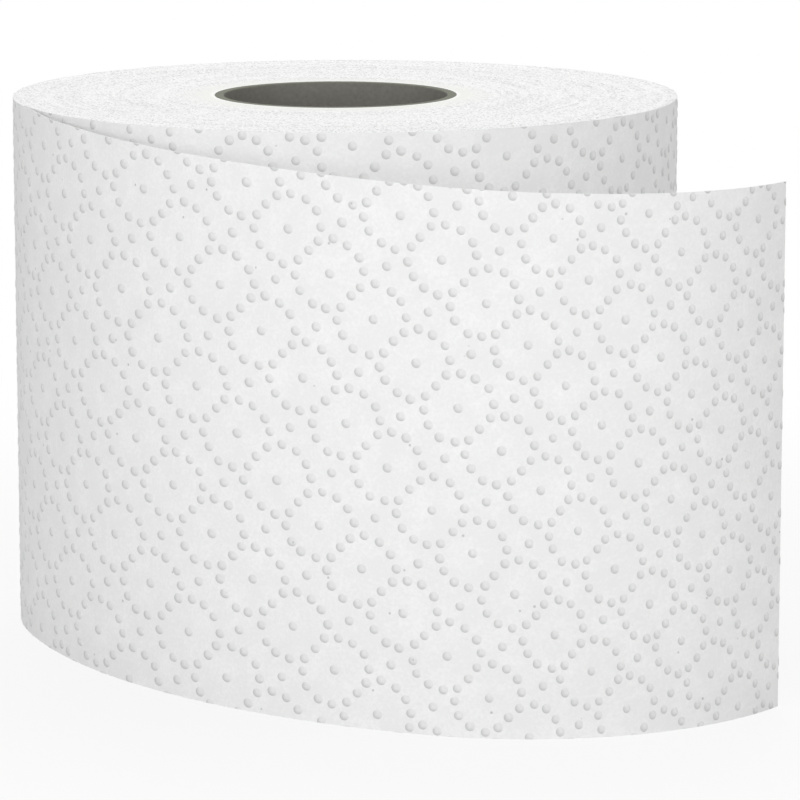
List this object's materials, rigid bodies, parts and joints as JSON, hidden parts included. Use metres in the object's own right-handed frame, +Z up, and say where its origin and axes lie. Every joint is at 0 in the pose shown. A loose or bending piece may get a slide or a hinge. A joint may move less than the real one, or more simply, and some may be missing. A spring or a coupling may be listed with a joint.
{
  "type": "toilet paper roll",
  "caption": "Roll of embossed toilet paper on a cardboard core, standing on its end, with the loose tail of the web standing in a curve in front of it.",
  "frame": {"origin": "on the axis of the cardboard core, in the plane of the roll's foot", "axes": "+Z up along the core's axis, -Y towards the front, where the loose tail stands, +X to the right"},
  "size_m": [0.1326, 0.1548, 0.0955],
  "materials": {
    "tissue_paper": "matte",
    "core_board": "matte"
  },
  "bodies": {
    "root": {"paper_roll": "tissue_paper", "core_tube": "core_board"}
  },
  "joints": []
}
